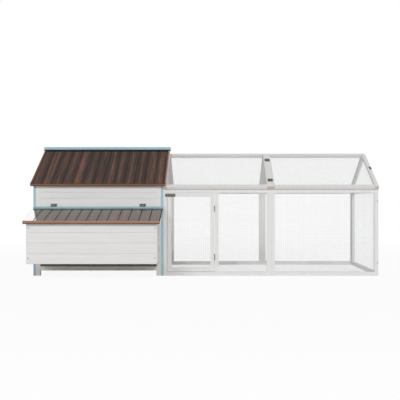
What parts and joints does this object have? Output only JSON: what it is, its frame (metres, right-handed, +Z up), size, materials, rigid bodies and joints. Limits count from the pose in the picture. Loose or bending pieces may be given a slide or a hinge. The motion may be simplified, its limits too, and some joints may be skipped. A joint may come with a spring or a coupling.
{
  "type": "chicken coop with run",
  "caption": "White timber chicken coop with blue edge strips, brown pitched roof, hinged nest box on the front and a gabled wire-mesh run with a hinged door.",
  "frame": {"origin": "centre of the overall box in plan, on the ground", "axes": "+X along the front from the house to the run, +Y from the front to the back, +Z up"},
  "size_m": [2.789, 1.255, 1.0652],
  "materials": {
    "white_paint": "satin white paint on fir",
    "blue_paint": "satin pale blue paint on fir",
    "roof_stain": "dark brown stain with streaks",
    "lid_stain": "grey-brown stain, weathered",
    "trim_stain": "orange-brown stain",
    "bare_fir": "planed, unpainted",
    "dark_steel": "dulled zinc plating",
    "galvanised_wire": "galvanised welded wire",
    "galvanised_sheet": "galvanised sheet"
  },
  "bodies": {
    "coop_frame": {"back_wall_boards": "white_paint", "back_wall_frame": "white_paint", "corner_posts": "blue_paint", "door_bolt_keeper": "dark_steel", "door_hinge_fixed_leaves": "dark_steel", "front_wall_boards": "white_paint", "front_wall_frame": "white_paint", "left_end_boards": "white_paint", "left_end_frame": "white_paint", "lid_hinge_fixed_leaves": "dark_steel", "nest_corner_battens": "bare_fir", "nest_dividers": "bare_fir", "nest_floor": "bare_fir", "nest_front_boards": "white_paint", "nest_side_boards": "white_paint", "pop_door_rails": "white_paint", "ridge_beam": "blue_paint", "right_end_boards": "white_paint", "right_end_frame": "white_paint", "roof_back_planks": "roof_stain", "roof_battens": "bare_fir", "roof_front_planks": "roof_stain", "roof_tie_plates": "dark_steel", "roof_trims": "trim_stain", "roost_bar": "bare_fir", "roost_brackets": "bare_fir", "run_back_frame_left": "white_paint", "run_back_frame_right": "white_paint", "run_back_mesh": "galvanised_wire", "run_end_frame": "white_paint", "run_end_mesh": "galvanised_wire", "run_front_frame_left": "white_paint", "run_front_frame_right": "white_paint", "run_front_mesh": "galvanised_wire", "run_roof_back_frame_left": "white_paint", "run_roof_back_frame_right": "white_paint", "run_roof_front_frame_left": "white_paint", "run_roof_front_frame_right": "white_paint", "run_roof_mesh": "galvanised_wire", "side_bolt_keeper": "dark_steel", "side_hinge_fixed_leaves": "dark_steel", "tray_runners": "bare_fir"},
    "nest_lid": {"nest_lid_planks": "lid_stain", "nest_lid_battens": "bare_fir", "nest_lid_trim": "trim_stain", "lid_hinge_rail": "blue_paint", "lid_hinge_moving_leaves": "dark_steel"},
    "run_door": {"run_door_frame": "white_paint", "run_door_mesh": "galvanised_wire", "door_hinge_moving_leaves": "dark_steel", "door_bolt_case": "dark_steel"},
    "door_bolt": {"door_bolt_rod": "dark_steel"},
    "side_door": {"side_door_boards": "white_paint", "side_door_battens": "bare_fir", "side_hinge_moving_leaves": "dark_steel", "side_bolt_case": "dark_steel"},
    "side_bolt": {"side_bolt_rod": "dark_steel"},
    "pop_door": {"pop_door": "white_paint", "pop_door_pull": "white_paint"},
    "dropping_tray": {"dropping_tray": "galvanised_sheet"}
  },
  "joints": [
    {"name": "nest_lid_hinge", "type": "hinge", "parent": "coop_frame", "child": "nest_lid", "pos_m": [-0.8455, -0.31079, 0.56014], "axis": [-1, 0, 0], "range_deg": [0, 85]},
    {"name": "run_door_hinge", "type": "hinge", "parent": "coop_frame", "child": "run_door", "pos_m": [0.084, -0.31079, 0.35], "axis": [0, 0, 1], "range_deg": [0, 165]},
    {"name": "door_bolt_slide", "type": "slide", "parent": "run_door", "child": "door_bolt", "axis": [-1, 0, 0], "range_m": [0, 0.02]},
    {"name": "side_door_hinge", "type": "hinge", "parent": "coop_frame", "child": "side_door", "pos_m": [-1.3688, 0.34101, 0.387], "axis": [0, 0, -1], "range_deg": [0, 110]},
    {"name": "side_bolt_slide", "type": "slide", "parent": "side_door", "child": "side_bolt", "axis": [0, -1, 0], "range_m": [0, 0.02]},
    {"name": "pop_door_slide", "type": "slide", "parent": "coop_frame", "child": "pop_door", "axis": [0, -1, 0], "range_m": [0, 0.26]},
    {"name": "dropping_tray_slide", "type": "slide", "parent": "coop_frame", "child": "dropping_tray", "axis": [0, -1, 0], "range_m": [0, 0.65]}
  ]
}
